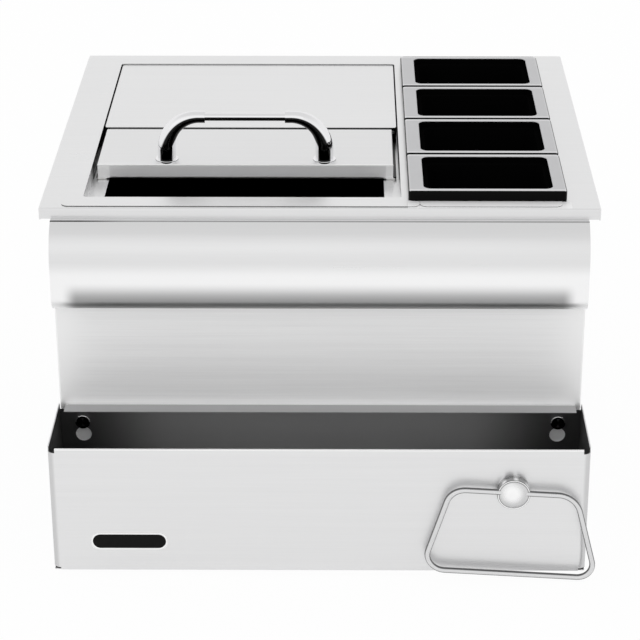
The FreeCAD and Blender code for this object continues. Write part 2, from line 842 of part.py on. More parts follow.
def make_condiment_bin(number):
    """A flat top with a skirt round it, a mouth that steps in at a shoulder, and a tapered pan."""
    body = new_body(f"condiment_bin_{number + 1}")
    left, right = seam - s.bin_overlap, flange_right + s.bin_overhang
    near = bins_near + bin_pitch * number
    far = near + bin_pitch - s.bin_gap
    top = flange_top + s.bin_rise
    wall = s.bin_wall
    add(body, "Z", flange_top, top, box(left, near, right, far, s.bin_corner))
    round_edges(body, s.bin_roll, level_edge(top))
    under_skirt = box(left + wall, near + wall, right - wall, far - wall)
    cut(body, "Z", flange_top - s.overrun, top - wall, under_skirt)

    mouth_left, mouth_right = pan_left - s.mouth_over_tub, pan_right + s.mouth_over_tub
    mouth_near, mouth_far = near + s.mouth_front, far - s.mouth_rear

    def ring(inset, corner):
        return box(mouth_left + inset, mouth_near + inset, mouth_right - inset, mouth_far - inset, corner)

    step = s.mouth_over_tub + s.pan_play + wall
    shoulder = flange_top + s.shoulder_lift
    pan_under = flange_top - s.pan_depth
    add(body, "Z", shoulder, top - wall, ring(-wall, s.mouth_corner + wall))
    loft(body, "AdditiveLoft",
         (shoulder, ring(step - wall, s.mouth_corner)),
         (pan_under, ring(step + s.pan_draft - wall, s.mouth_corner)))
    cut(body, "Z", shoulder + wall, top + s.overrun, ring(zero, s.mouth_corner))
    loft(body, "SubtractiveLoft",
         (shoulder + wall, ring(step, s.mouth_corner - wall)),
         (pan_under + wall, ring(step + s.pan_draft, s.mouth_corner - wall)))

    def at_mouth(b):
        if abs(b.ZMin - top.value) > 1e-4 or abs(b.ZMax - top.value) > 1e-4:
            return False
        inside_x = b.XMin > (mouth_left - s.overrun).value and b.XMax < (mouth_right + s.overrun).value
        inside_y = b.YMin > (mouth_near - s.overrun).value and b.YMax < (mouth_far + s.overrun).value
        return inside_x and inside_y

    round_edges(body, s.mouth_roll, at_mouth)


def make_bullnose():
    """A rolled sheet: flange under the rim, a large curve over the top, upright face, small heel."""
    wall = s.nose_sheet
    top = nose_top
    face = front - s.nose_reach
    start = front - s.nose_root
    bulge = s.nose_reach - s.nose_root
    curve = (bulge * bulge + s.nose_shoulder * s.nose_shoulder) / (bulge * 2)
    centre = face + curve
    shoulder = top - s.nose_shoulder
    heel_start = shoulder - s.nose_flat
    heel = s.nose_reach - s.panel_reach - s.nose_foot
    bottom = heel_start - heel
    panel_face = front - s.panel_reach
    flange_end = front + s.nose_flange
    inner_rise = s.nose_shoulder - wall
    inner_curve = curve - wall
    inner_start = centre - root(inner_curve * inner_curve - inner_rise * inner_rise)
    body = new_body("bullnose")
    add(body, "X", -apron_half, apron_half, [
        (flange_end, top),
        (start, top),
        Bend(face, shoulder, curve, 1),
        (face, heel_start),
        Bend(face + heel, bottom, heel, 1),
        (panel_face, bottom),
        (panel_face, bottom + wall),
        (face + heel, bottom + wall),
        Bend(face + wall, heel_start, heel - wall, -1),
        (face + wall, shoulder),
        Bend(inner_start, top - wall, inner_curve, -1),
        (flange_end, top - wall),
    ])

    cap_top = root(inner_curve * inner_curve - (centre - panel_face) * (centre - panel_face)) + shoulder
    for side, name in ((-1, "left"), (1, "right")):
        cap = new_body("bullnose_cap_" + name)
        low, high = (-apron_half, wall - apron_half) if side < 0 else (apron_half - wall, apron_half)
        add(cap, "X", low, high, [
            (face + heel, bottom + wall),
            (panel_face, bottom + wall),
            (panel_face, cap_top),
            Bend(face + wall, shoulder, inner_curve, 1),
            (face + wall, heel_start),
            Bend(face + heel, bottom + wall, heel - wall, 1),
        ])

    metal = s.bracket_sheet
    foot_length = (s.nose_flange + metal - s.deck_sheet - s.bracket_gap) / 2
    foot = flange_end - foot_length
    for number, name in enumerate(("left", "middle", "right")):
        bracket = new_body("apron_bracket_" + name)
        x = (apron_half - s.bracket_inset) * (number - 1)
        low, high = x - s.bracket_width / 2, x + s.bracket_width / 2
        add(bracket, "X", low, high, [
            (flange_end, top),
            (flange_end, top + metal),
            (foot + metal, top + metal),
            (foot + metal, deck_under),
            (foot - foot_length + metal, deck_under),
            (foot - foot_length + metal, deck_under - metal),
            (foot, deck_under - metal),
            (foot, top),
        ])


def make_apron_panel():
    body = new_body("apron_panel")
    half = apron_half
    wall = s.panel_sheet
    face = front - s.panel_reach
    back = face + s.panel_return
    inner_bend = s.panel_bend - wall
    # Face and the two side returns
    add(body, "Z", -s.panel_bottom, -s.panel_top, [
        (-half, back),
        (-half, face, s.panel_bend),
        (half, face, s.panel_bend),
        (half, back),
        (half - wall, back),
        (half - wall, face + wall, inner_bend),
        (wall - half, face + wall, inner_bend),
        (wall - half, back),
    ])
    # Return along the bottom edge
    add(body, "X", wall - half, half - wall, [
        (face + wall, -s.panel_bottom),
        (back, -s.panel_bottom),
        (back, wall - s.panel_bottom),
        (face + wall, wall - s.panel_bottom),
    ])
    shank = s.stud_shank_radius + s.nut_play
    cut(body, "Y", face - s.overrun, face + wall + s.overrun,
        *[Disc(x, stud_z, shank) for x in (-stud_x, stud_x)])


def make_studs():
    """Shoulder studs through the apron panel: the rail's keyholes hang on their necks."""
    face = -s.panel_reach
    neck_end = face - s.rail_gap - s.rail_sheet - s.rail_gap
    head_end = neck_end - s.stud_head_height
    shank_end = face + s.stud_shank
    fold = s.stud_head_fold
    for side, name in ((-1, "left"), (1, "right")):
        body = new_body("rail_stud_" + name)
        turn(body, "Y", [
            (head_end, zero),
            (head_end, s.stud_head_radius - fold),
            Bend(head_end + fold, s.stud_head_radius, fold, -1),
            (neck_end, s.stud_head_radius),
            (neck_end, stud_neck),
            (face, stud_neck),
            (face, s.stud_shank_radius),
            (shank_end, s.stud_shank_radius),
            (shank_end, zero),
        ])
        place(body, stud_x * side, front, stud_z)

        nut = new_body("rail_stud_nut_" + name)
        hexagon = [(s.nut_radius * x, s.nut_radius * y) for x, y in HEX_SHARES]
        nut_face = face + s.panel_sheet
        add(nut, "Y", nut_face, nut_face + s.nut_height, hexagon,
            Disc(zero, zero, s.stud_shank_radius + s.nut_play))
        place(nut, stud_x * side, front, stud_z)


def make_speed_rail():
    wall = s.rail_sheet
    half = rail_half
    back = front - s.panel_reach - s.rail_gap
    face = front - s.rail_reach
    floor = rail_top - s.rail_height
    inner_corner = s.rail_corner - wall

    # Front and end walls are one sheet bent round the two front corners
    body = new_body("rail_front_wrap")
    add(body, "Z", floor, rail_top, [
        (-half, back),
        (-half, face, s.rail_corner),
        (half, face, s.rail_corner),
        (half, back),
        (half - wall, back),
        (half - wall, face + wall, inner_corner),
        (wall - half, face + wall, inner_corner),
        (wall - half, back),
    ])
    # Hem along the top of the front wall
    hem_end = half - s.rail_corner
    add(body, "Z", rail_top - s.rail_hem, rail_top,
        box(-hem_end, face + wall, hem_end, face + wall * 2))
    # Reliefs at the corners, above and below
    for side in (-1, 1):
        corner_in = (half - s.rail_corner) * side
        corner_out = (half + s.overrun) * side
        low, high = (corner_out, corner_in) if side < 0 else (corner_in, corner_out)
        corner = box(low, face - s.overrun, high, face + s.rail_corner)
        cut(body, "Z", rail_top - s.corner_notch, rail_top + s.overrun, corner)
        cut(body, "Z", floor - s.overrun, floor + s.corner_slot, corner)
    knob_hole = Disc(knob_x, knob_z, s.knob_screw_radius + s.knob_screw_play)
    cut(body, "Y", face - s.overrun, face + wall + s.overrun, knob_hole)

    # Floor, back wall and top flange are the second sheet, welded in between the end walls
    body = new_body("rail_back_wrap")
    front_in = face + wall
    flange_end = back - s.rail_flange
    bend, inner_bend = s.rail_bend, s.rail_bend - wall
    add(body, "X", wall - half, half - wall, [
        (front_in, floor),
        (back, floor, bend),
        (back, rail_top, bend),
        (flange_end, rail_top),
        (flange_end, rail_top - wall),
        (back - wall, rail_top - wall, inner_bend),
        (back - wall, floor + wall, inner_bend),
        (front_in, floor + wall),
    ])
    for side in (-1, 1):
        relief_in = (half - wall - s.flange_relief) * side
        relief_out = half * side
        low, high = (relief_out, relief_in) if side < 0 else (relief_in, relief_out)
        relief = box(low, flange_end - s.overrun, high, back + s.overrun)
        cut(body, "Z", rail_top - s.flange_relief, rail_top + s.overrun, relief)
    # Keyholes: the head passes the round hole, the neck rests in the slot above it
    slot = stud_neck + s.slot_play
    hole_z = stud_z - s.keyhole_drop
    keyhole_radius = s.stud_head_radius + s.keyhole_play
    for x in (-stud_x, stud_x):
        cut(body, "Y", back - wall - s.overrun, back + s.overrun, Disc(x, hole_z, keyhole_radius))
        cut(body, "Y", back - wall - s.overrun, back + s.overrun, [
            (x - slot, hole_z),
            (x + slot, hole_z),
            (x + slot, stud_z + slot, slot),
            (x - slot, stud_z + slot, slot),
        ])

    body = new_body("badge_plate")
    badge_x = s.badge_side - half
    badge_z = rail_top - s.badge_below
    add(body, "Y", face - s.badge_sheet, face,
        box(badge_x - s.badge_width / 2, badge_z - s.badge_height / 2,
            badge_x + s.badge_width / 2, badge_z + s.badge_height / 2,
            (s.badge_height - s.badge_flat) / 2))
    make_towel_ring(face)


def make_towel_ring(face):
    """A bent wire trapezoid whose two ends meet in the cross bore of a domed knob."""
    knob = new_body("ring_knob")
    bead = s.knob_bead
    nose = -s.ring_stand_off - s.wire_radius - s.knob_front_wall
    screw_reach = s.ring_stand_off - s.wire_radius - s.knob_screw_web
    shoulder = nose + s.knob_dome
    crown = s.knob_radius - bead
    dome = (crown * crown + s.knob_dome * s.knob_dome) / (s.knob_dome * 2)
    screw_hole = s.knob_screw_radius + s.knob_screw_play
    turn(knob, "Y", [
        (nose, zero),
        Bend(shoulder, crown, dome, -1),
        Bend(shoulder + bead, s.knob_radius, bead, -1),
        (zero, s.knob_radius),
        (zero, screw_hole),
        (-screw_reach, screw_hole),
        (-screw_reach, zero),
    ])
    reach = s.knob_radius + s.overrun
    bore = Disc(-s.ring_stand_off, s.ring_above, s.wire_radius + s.ring_play)
    cut(knob, "X", -reach, reach, bore)
    place(knob, knob_x, face, knob_z, RING_TILT_DEGREES)

    ring = new_body("towel_ring")
    top, foot = s.ring_top_width / 2, s.ring_foot_width / 2
    drop, bend, end = s.ring_height, s.ring_bend, s.ring_end_gap / 2
    spread = foot - top
    leg = root(spread * spread + drop * drop)
    out, down = spread / leg, drop / leg
    slope = (leg - spread) / (leg + spread)
    top_reach = bend * root(slope)
    foot_reach = bend / root(slope)
    half_path = [
        (top - top_reach, zero, False),
        (top + out * top_reach, -(down * top_reach), True),
        (foot - out * foot_reach, down * foot_reach - drop, False),
        (foot - foot_reach, -drop, True),
    ]
    path = [(end, s.ring_above)]
    for x, z, bent in half_path:
        height = z + s.ring_above
        path.append(Bend(x, height, bend, -1) if bent else (x, height))
    far_half = [(-x, z + s.ring_above) for x, z, _ in reversed(half_path)]
    for number, (x, height) in enumerate(far_half):
        path.append(Bend(x, height, bend, -1) if number % 2 else (x, height))
    path.append((-end, s.ring_above))
    spine = sketch_on(ring, "Y", -s.ring_stand_off)
    draw(spine, path, closed=False)
    section = sketch_on(ring, "X", end)
    draw(section, Disc(-s.ring_stand_off, s.ring_above, s.wire_radius))
    doc.recompute()
    pipe = ring.newObject("PartDesign::AdditivePipe", "towel_ring_pipe")
    pipe.Profile = section
    pipe.Spine = (spine, [f"Edge{n + 1}" for n in range(len(path) - 1)])
    doc.recompute()
    place(ring, knob_x, face, knob_z, RING_TILT_DEGREES)

    screw = new_body("ring_knob_screw")
    inside = s.rail_sheet
    head = s.rail_sheet + s.knob_screw_head_height
    reach = s.knob_screw_play - screw_reach
    turn(screw, "Y", [
        (reach, zero),
        (reach, s.knob_screw_radius),
        (inside, s.knob_screw_radius),
        (inside, s.knob_screw_head_radius),
        (head, s.knob_screw_head_radius),
        (head, zero),
    ])
    place(screw, knob_x, face, knob_z)


make_rim_frame()
make_ice_bin_liner()
make_condiment_liner()
make_foam()
make_outer_jacket()
make_drain()
make_rear_cover()
make_lid()
for bin_number in range(BIN_COUNT):
    make_condiment_bin(bin_number)
make_bullnose()
make_apron_panel()
make_studs()
make_speed_rail()

doc.recompute()
for item in doc.Objects:
    if any(word in ("Invalid", "Error") for word in item.State):
        raise ValueError(f"{item.Label} is not built: {item.State}")
for part in parts:
    if part.Shape.isNull() or not part.Shape.isValid():
        raise ValueError(f"{part.Label} has no valid shape")

os.makedirs("parts", exist_ok=True)
for part in parts:
    part.Shape.exportStep(os.path.join("parts", part.Label + ".step"))
print(len(parts), "parts written")
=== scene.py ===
import bmesh
import bpy
import json
import math
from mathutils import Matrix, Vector


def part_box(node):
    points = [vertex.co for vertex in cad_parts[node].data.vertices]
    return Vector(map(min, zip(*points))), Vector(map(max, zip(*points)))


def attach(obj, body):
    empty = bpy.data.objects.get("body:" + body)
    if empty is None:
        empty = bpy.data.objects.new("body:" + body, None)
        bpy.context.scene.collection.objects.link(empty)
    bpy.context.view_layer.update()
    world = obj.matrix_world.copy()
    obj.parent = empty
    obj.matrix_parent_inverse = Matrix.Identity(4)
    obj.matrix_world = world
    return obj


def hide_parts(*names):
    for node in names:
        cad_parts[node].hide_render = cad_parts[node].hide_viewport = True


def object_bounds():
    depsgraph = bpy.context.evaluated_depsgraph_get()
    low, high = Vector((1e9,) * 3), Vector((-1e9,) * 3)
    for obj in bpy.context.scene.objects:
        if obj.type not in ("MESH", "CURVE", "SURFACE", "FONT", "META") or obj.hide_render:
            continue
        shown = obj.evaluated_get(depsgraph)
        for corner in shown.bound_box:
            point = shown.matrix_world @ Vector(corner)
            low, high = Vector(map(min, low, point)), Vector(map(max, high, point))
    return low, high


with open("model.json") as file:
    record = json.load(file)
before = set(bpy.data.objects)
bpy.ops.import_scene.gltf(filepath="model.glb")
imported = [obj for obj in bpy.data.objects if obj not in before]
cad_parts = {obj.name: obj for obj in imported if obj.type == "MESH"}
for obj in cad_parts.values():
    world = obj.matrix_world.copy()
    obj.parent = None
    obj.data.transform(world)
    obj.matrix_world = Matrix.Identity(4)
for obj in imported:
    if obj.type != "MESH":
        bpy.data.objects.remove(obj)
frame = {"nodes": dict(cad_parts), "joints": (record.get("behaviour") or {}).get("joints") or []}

cad_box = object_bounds()

# Rim frame: one sheet of stainless steel, brushed along its width. Its four edges are folded down
# and the side and back edges turn in again, so that the unit hangs by them on the counter. The
# strip before the bins is duller, so that it hardly mirrors their black skirts.
STEEL_COLOUR = (0.8, 0.8, 0.803, 1)
STEEL_ROUGHNESS = 0.3
GRAIN_ALONG = 9.0
GRAIN_ACROSS = 900.0
STREAKS_ALONG = 2.5
STREAKS_ACROSS = 160.0
FOLD_SOFTNESS = 0.00025
SHARP_FOLD_DEGREES = 40
DULL_COLOUR = (0.97, 0.97, 0.973, 1)
RIM_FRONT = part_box("rim_frame")[0].y
RIM_FOLD = 0.0015
DULL_MARGIN = 0.001
DULL_RIGHT_MARGIN = 0.004
BINS_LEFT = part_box("condiment_bin_1")[0].x
BINS_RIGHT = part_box("condiment_bin_1")[1].x
BINS_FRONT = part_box("condiment_bin_1")[0].y


class Wire:
    """A shader socket that takes part in a Python expression."""

    def __init__(self, finish, socket):
        self.finish = finish
        self.socket = socket

    def maths(self, operation, first, second=0.0):
        return self.finish.node("Math", 0, {"operation": operation}, {0: first, 1: second})

    def __add__(self, other):
        return self.maths("ADD", self, other)

    def __sub__(self, other):
        return self.maths("SUBTRACT", self, other)

    def __rsub__(self, other):
        return self.maths("SUBTRACT", other, self)

    def __mul__(self, other):
        return self.maths("MULTIPLY", self, other)

    def __gt__(self, other):
        return self.maths("GREATER_THAN", self, other)

    def __lt__(self, other):
        return self.maths("LESS_THAN", self, other)

    def __pow__(self, other):
        return self.maths("POWER", self, other)

    def __abs__(self):
        return self.maths("ABSOLUTE", self)

    def sine(self):
        return self.maths("SINE", self)

    def at_least(self, other):
        return self.maths("MAXIMUM", self, other)

    __radd__ = __add__
    __rmul__ = __mul__


class Finish:
    """One material, the look of one kind of surface, or the sky when it is given a world."""

    def __init__(self, name, world=None):
        self.material = world or bpy.data.materials.new(name)
        self.material.use_nodes = True
        self.tree = self.material.node_tree
        self.tree.nodes.clear()

    def node(self, kind, output, settings=None, sockets=None):
        """One shader node; a socket's value is a plain one or a wire from another node."""
        made = self.tree.nodes.new("ShaderNode" + kind)
        for name, value in (settings or {}).items():
            setattr(made, name, value)
        for name, value in (sockets or {}).items():
            if isinstance(value, Wire):
                self.tree.links.new(value.socket, made.inputs[name])
            else:
                made.inputs[name].default_value = value
        return Wire(self, made.outputs[output])

    def place(self):
        return self.node("TexCoord", "Object")

    def split(self, vector):
        return [self.node("SeparateXYZ", axis, None, {0: vector}) for axis in range(3)]

    def stretched(self, vector, scale):
        return self.node("VectorMath", 0, {"operation": "MULTIPLY"}, {0: vector, 1: scale})

    def noise(self, vector, detail=4.0, roughness=0.6, scale=1.0):
        sockets = {"Vector": vector, "Scale": scale, "Detail": detail, "Roughness": roughness}
        return self.node("TexNoise", 0, {"noise_dimensions": "3D"}, sockets)

    def between(self, share, low, high):
        """Low where the share is 0, high where it is 1; both are plain numbers."""
        limits = {"Value": share, "To Min": low, "To Max": high}
        return self.node("MapRange", 0, {"clamp": True}, limits)

    def rise(self, value, start, end):
        """0 up to the start, 1 from the end on, and soft in between."""
        limits = {"Value": value, "From Min": start, "From Max": end}
        return self.node("MapRange", 0, {"interpolation_type": "SMOOTHSTEP"}, limits)

    def mixed(self, share, first, second):
        return self.node("Mix", 2, {"data_type": "RGBA"}, {0: share, 6: first, 7: second})

    def relief(self, height, depth):
        return self.node("Bump", 0, None, {"Height": height, "Distance": depth})

    def shader(self, **sockets):
        named = {name.replace("_", " "): value for name, value in sockets.items()}
        return self.node("BsdfPrincipled", 0, None, named)

    def shader_mix(self, share, first, second):
        return self.node("MixShader", 0, None, {0: share, 1: first, 2: second})

    def finished(self, shader, kind="OutputMaterial"):
        made = self.tree.nodes.new("ShaderNode" + kind)
        self.tree.links.new(shader.socket, made.inputs["Surface"])
        return self.material


def shade(colour, share):
    """A colour made darker or lighter by a share."""
    return tuple(min(1.0, c * share) for c in colour[:3]) + (1,)


def brushed_steel(name, colour=STEEL_COLOUR, roughness=STEEL_ROUGHNESS, streak=0.04,
                  grain_depth=0.000012, metallic=1.0, stretches=None):
    """Sheet brushed along X, and along Y on faces that look to the side.

    A metallic share below 1 makes it duller. stretches gives, from the finish and a place, the
    mask, colour and added roughness of each stretch that differs from the rest, such as painted
    shade or a painted highlight, and also, where it has one, how much lower its metallic share is.
    """
    finish = Finish(name)
    place = finish.place()
    normal = finish.node("TexCoord", "Normal")
    side = abs(finish.split(normal)[0]) > 0.7

    def along(run, cross):
        on_x = finish.stretched(place, (run, cross, cross))
        on_y = finish.stretched(place, (cross, run, cross))
        sockets = {0: side, 4: on_x, 5: on_y}
        return finish.node("Mix", 1, {"data_type": "VECTOR"}, sockets)

    grain = finish.noise(along(GRAIN_ALONG, GRAIN_ACROSS), detail=3.0, roughness=0.5)
    streaks = finish.noise(along(STREAKS_ALONG, STREAKS_ACROSS), detail=5.0, roughness=0.7)
    cloud = finish.noise(place, detail=2.0, scale=5.0)
    tone = streaks * 0.6 + grain * 0.4
    tint = finish.mixed(finish.between(tone, -0.5, 1.5), shade(colour, 1 - streak),
                        shade(colour, 1 + streak))
    roughness = cloud * 0.1 + streaks * 0.08 + (roughness - 0.09)
    if stretches:
        for mask, other, rougher, *duller in stretches(finish, *finish.split(place)):
            tint = finish.mixed(mask, tint, other)
            if rougher:
                roughness = mask * rougher + roughness
            if duller:
                metallic = metallic - mask * duller[0]
    return finish.finished(finish.shader(
        Base_Color=tint,
        Metallic=metallic,
        Roughness=roughness,
        Normal=finish.relief(grain, grain_depth),
    ))


def dress(node, material, softness=FOLD_SOFTNESS):
    """Give a node of the frame its finish, and soften its cut edges."""
    piece = frame["nodes"][node]
    for slot in piece.material_slots:
        slot.material = material
    if softness:
        bevel = piece.modifiers.new("soft edges", "BEVEL")
        bevel.width = softness
        bevel.segments = 2
        bevel.limit_method = "ANGLE"
        bevel.angle_limit = math.radians(SHARP_FOLD_DEGREES)
        bevel.use_clamp_overlap = True


def deck_shades(finish, x, y, z):
    beside_bins = (x > BINS_LEFT - DULL_MARGIN) * (x < BINS_RIGHT + DULL_RIGHT_MARGIN)
    before_bins = beside_bins * (y < BINS_FRONT + DULL_MARGIN) * (y > RIM_FRONT + RIM_FOLD)
    return [(before_bins, DULL_COLOUR, 0.25, 0.8)]


dress("rim_frame", brushed_steel("brushed_deck_steel", streak=0.025, stretches=deck_shades))

# Ice bin and condiment liners: two deep-drawn stainless tubs whose flanges lie on the deck.
# Only their cut edges show there, painted dark as thin seams of shade. The deep tub and the walls
# close beside the lid are painted black as the shade they lie in.
DECK_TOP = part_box("rim_frame")[1].z
FLANGE_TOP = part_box("ice_bin_liner")[1].z
GLIDE_PLAY = 0.0008
TUB_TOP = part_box("lid_glide_left")[0].z - GLIDE_PLAY
COVER_PLAY = 0.0012
RECESS_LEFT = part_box("rear_cover")[0].x - COVER_PLAY
RECESS_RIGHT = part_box("rear_cover")[1].x + COVER_PLAY
LID_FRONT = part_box("lid_box")[0].y
SEAM_FOOT = 0.00004
SEAM_TOP_DROP = 0.0002
WALL_TOP_DROP = 0.0004
WALL_INSIDE = 0.0005
WALL_OUTSIDE = 0.0025
SEAM_SHADE_COLOUR = (0.03, 0.03, 0.03, 1)
TUB_SHADE_COLOUR = (0.004, 0.004, 0.004, 1)


def liner_shades(finish, x, y, z):
    # The seams, the deep tub and the walls beside the lid are painted dark as shade.
    seam = (z > DECK_TOP + SEAM_FOOT) * (z < FLANGE_TOP - SEAM_TOP_DROP)
    tub = z < TUB_TOP
    right_wall = (x > RECESS_RIGHT - WALL_INSIDE) * (x < RECESS_RIGHT + WALL_OUTSIDE)
    recess_walls = (x < RECESS_LEFT + WALL_INSIDE) + right_wall
    beside_lid = recess_walls * (y > LID_FRONT) * (z < FLANGE_TOP - WALL_TOP_DROP)
    return deck_shades(finish, x, y, z) + [(seam, SEAM_SHADE_COLOUR, 0), (tub, TUB_SHADE_COLOUR, 0),
                                           (beside_lid, TUB_SHADE_COLOUR, 0)]


liner_steel = brushed_steel("brushed_liner_steel", streak=0.025, stretches=liner_shades)
dress("ice_bin_liner", liner_steel, softness=0.0002)
dress("condiment_liner", liner_steel, softness=0.0002)

# Insulated body: foam round the liners in a jacket of galvanised sheet, with a threaded drain
# through the floor. All of it hangs below the counter.
GALVANISED_COLOUR = (0.5, 0.51, 0.52, 1)
FLAKE_SCALE = 90.0
DRAIN_GREY = (0.3, 0.31, 0.32, 1)
FOAM_COLOUR = (0.78, 0.68, 0.42, 1)
RUBBER_BLACK = (0.03, 0.03, 0.03, 1)


def galvanised_sheet():
    """Zinc with its faint flakes."""
    finish = Finish("galvanised_sheet")
    sockets = {"Vector": finish.place(), "Scale": FLAKE_SCALE}
    flake = finish.split(finish.node("TexVoronoi", "Color", None, sockets))[0]
    return finish.finished(finish.shader(
        Base_Color=finish.mixed(flake, shade(GALVANISED_COLOUR, 0.86),
                                shade(GALVANISED_COLOUR, 1.12)),
        Metallic=1.0,
        Roughness=finish.between(flake, 0.38, 0.52),
    ))


def moulded(name, colour, roughness, relief=0.00003):
    """Moulded plastic, rubber or foam with a fine skin."""
    finish = Finish(name)
    place = finish.place()
    skin = finish.noise(place, detail=3.0, scale=1400.0)
    cloud = finish.noise(place, detail=3.0, scale=14.0)
    return finish.finished(finish.shader(
        Base_Color=finish.mixed(cloud, shade(colour, 0.88), shade(colour, 1.12)),
        Roughness=finish.between(cloud, roughness - 0.05, roughness + 0.05),
        Normal=finish.relief(skin, relief),
    ))


zinc_sheet = galvanised_sheet()
drain_plastic = moulded("grey_drain_plastic", DRAIN_GREY, 0.45)
dress("outer_jacket", zinc_sheet, softness=0.0004)
dress("foam_insulation", moulded("insulation_foam", FOAM_COLOUR, 0.9, relief=0.0004), softness=0)
dress("drain_body", drain_plastic)
dress("drain_nut", drain_plastic)
dress("drain_gasket", moulded("black_rubber", RUBBER_BLACK, 0.7))
dress("drain_strainer", brushed_steel("brushed_drain_steel"))

# Rear cover: a folded stainless pan that closes the back half of the bin.
# It rests on the ledges of the recess and lifts out. The top of its front lip, in the gap behind
# the lid, is painted dark as shade.
COVER_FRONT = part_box("rear_cover")[0].y
COVER_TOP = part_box("rear_cover")[1].z
LIP_SHADE_DROP = 0.004
LIP_SKIN = 0.0004


def cover_shades(finish, x, y, z):
    # The top of the front lip is painted dark as the shade of the gap.
    front_lip = (y < COVER_FRONT + LIP_SKIN) * (z < COVER_TOP - LIP_SKIN)
    return [(front_lip * (z > COVER_TOP - LIP_SHADE_DROP), TUB_SHADE_COLOUR, 0)]


dress("rear_cover", brushed_steel("brushed_cover_steel", streak=0.025, stretches=cover_shades))

# Sliding lid: a folded stainless box on a thin plate, with two plastic glides under it. The plate
# is painted dark as the shade in the narrow gaps beside and behind the box, and so are the box's
# rear edge and its sides low down. Its front face is satin and painted lighter, with painted
# highlights on its ends and on the fold on top.
LID_LOW, LID_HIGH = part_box("lid_box")
LID_MIDDLE = (LID_LOW.x + LID_HIGH.x) / 2
LID_HALF = (LID_HIGH.x - LID_LOW.x) / 2
LID_FACE_LIGHT_COLOUR = (0.95, 0.95, 0.953, 1)
# White of painted highlights, and the real bright rim of the badge.
HIGHLIGHT_AND_RIM_WHITE = (1.0, 1.0, 1.0, 1)
LID_LEFT_END = 0.0138
LID_RIGHT_END = 0.0085
LID_REAR_SHADE = 0.004
LID_FOLD_DROP = 0.0016
LID_FOLD_DEPTH = 0.0014
LID_FACE_SKIN = 0.0006
LID_SIDE_SKIN = 0.0003
COVER_LAP = 0.002
GLIDE_WHITE = (0.8, 0.8, 0.78, 1)


def lid_shades(finish, x, y, z):
    low_part = z < LID_HIGH.z - LID_FOLD_DROP
    behind = y > LID_HIGH.y - LID_REAR_SHADE
    beside = abs(x - LID_MIDDLE) > LID_HALF - LID_SIDE_SKIN
    face = (y < LID_LOW.y + LID_FACE_SKIN) * low_part
    ends = (x < LID_LOW.x + LID_LEFT_END) + (x > LID_HIGH.x - LID_RIGHT_END)
    fold = (y < LID_LOW.y + LID_FOLD_DEPTH) * (z > LID_HIGH.z - LID_FOLD_DROP)
    # The rear edge and low sides are painted shade, the face is painted lighter, and its ends and
    # top fold are painted highlights.
    return [(behind, TUB_SHADE_COLOUR, 0), (face, LID_FACE_LIGHT_COLOUR, 0.35),
            (face * ends, HIGHLIGHT_AND_RIM_WHITE, 0, 0.6), (fold, HIGHLIGHT_AND_RIM_WHITE, 0.2, 0.7),
            (beside * low_part, SEAM_SHADE_COLOUR, 0)]


def plate_shades(finish, x, y, z):
    # The plate beside and behind the box is painted black as shade.
    beside = abs(x - LID_MIDDLE) > LID_HALF
    behind = (y > LID_HIGH.y) * (y < COVER_FRONT + COVER_LAP)
    return [(beside, TUB_SHADE_COLOUR, 0), (behind, TUB_SHADE_COLOUR, 0)]


dress("lid_box", brushed_steel("brushed_lid_steel", roughness=0.4, streak=0.025,
                               stretches=lid_shades))
dress("lid_slide_plate", brushed_steel("brushed_plate_steel", stretches=plate_shades))
glide_plastic = moulded("white_slide_plastic", GLIDE_WHITE, 0.4)
dress("lid_glide_left", glide_plastic)
dress("lid_glide_right", glide_plastic)

# Handle: polished tube in three pieces on two round collars, screwed on from inside the lid.
# The lower front of the tube is painted dark as a painted reflection of the dark tub, and the
# sloping foot of each collar has a painted dark reflection too.
CHROME_COLOUR = (0.87, 0.87, 0.88, 1)
DARK_REFLECTION = (0.015, 0.015, 0.015, 1)
ZINC_COLOUR = (0.6, 0.6, 0.6, 1)
WIPE_SCALES = (60.0, 240.0, 240.0)


def polished(name, colour, roughness=0.04, wear=0.04, shades=None):
    """Mirror-polished or satin metal with faint wipe marks.

    shades gives, from the finish and the direction that the surface faces, the mask and colour of
    each side that is painted as a reflection of something else than the rest.
    """
    finish = Finish(name)
    wiped = finish.noise(finish.stretched(finish.place(), WIPE_SCALES), detail=3.0)
    tint = finish.mixed(wiped, colour, shade(colour, 0.97))
    if shades:
        facing = finish.split(finish.node("TexCoord", "Normal"))
        for mask, other in shades(finish, *facing):
            tint = finish.mixed(mask, tint, other)
    return finish.finished(finish.shader(
        Base_Color=tint,
        Metallic=1.0,
        Roughness=finish.between(wiped, roughness, roughness + wear),
    ))


def tube_shades(finish, x, y, z):
    # Painted reflection: the tube's lower front side is painted dark.
    forward_and_down = 0 - y * 0.9 - z * 1.1
    return [(finish.rise(forward_and_down, 0.6, 0.72), DARK_REFLECTION)]


def collar_shades(finish, x, y, z):
    # Painted reflection: a dark line is painted round the collar's sloping foot.
    sloping = finish.rise(0 - z, -0.55, -0.35) * (z > 0.05)
    return [(sloping, DARK_REFLECTION)]


tube_chrome = polished("polished_tube", CHROME_COLOUR, shades=tube_shades)
for name in ("handle_bar", "handle_elbow_left", "handle_elbow_right"):
    dress(name, tube_chrome, softness=0)
collar_chrome = polished("polished_collar", CHROME_COLOUR, shades=collar_shades)
for name in ("handle_collar_left", "handle_collar_right"):
    dress(name, collar_chrome, softness=0)
zinc_plated = polished("zinc_plated_steel", ZINC_COLOUR, 0.25)
dress("handle_screw_left", zinc_plated)
dress("handle_screw_right", zinc_plated)

